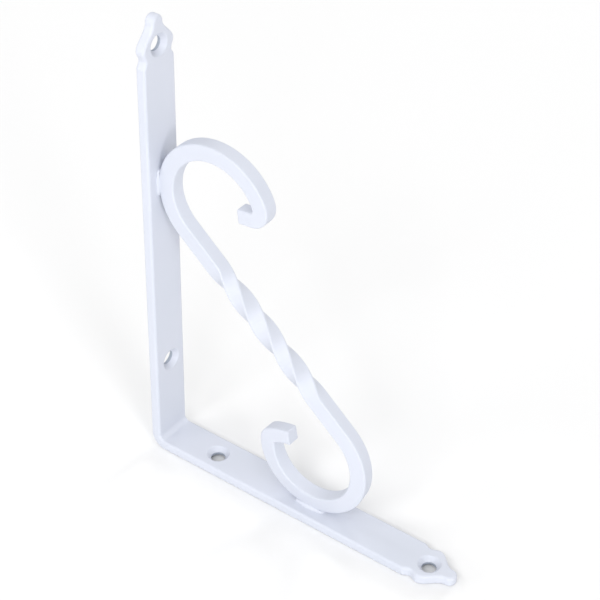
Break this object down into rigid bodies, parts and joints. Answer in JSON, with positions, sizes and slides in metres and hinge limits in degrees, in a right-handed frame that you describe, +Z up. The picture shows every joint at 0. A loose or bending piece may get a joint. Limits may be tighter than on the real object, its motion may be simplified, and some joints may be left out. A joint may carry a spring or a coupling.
{
  "type": "shelf bracket",
  "caption": "Wrought iron shelf bracket: a flat strap bent to an L, with shaped ends and countersunk screw holes, braced by a scroll of twisted bar.",
  "frame": {"origin": "middle of the bracket's footprint, on the shelf leg's outer face", "axes": "+Z up along the wall leg, +X from the wall leg along the shelf leg, +Y across the strap"},
  "size_m": [0.138, 0.0164, 0.191],
  "materials": {
    "strap_white": "satin powder coat",
    "scroll_white": "satin powder coat"
  },
  "bodies": {
    "root": {"strap": "strap_white", "scroll": "scroll_white"}
  },
  "joints": []
}
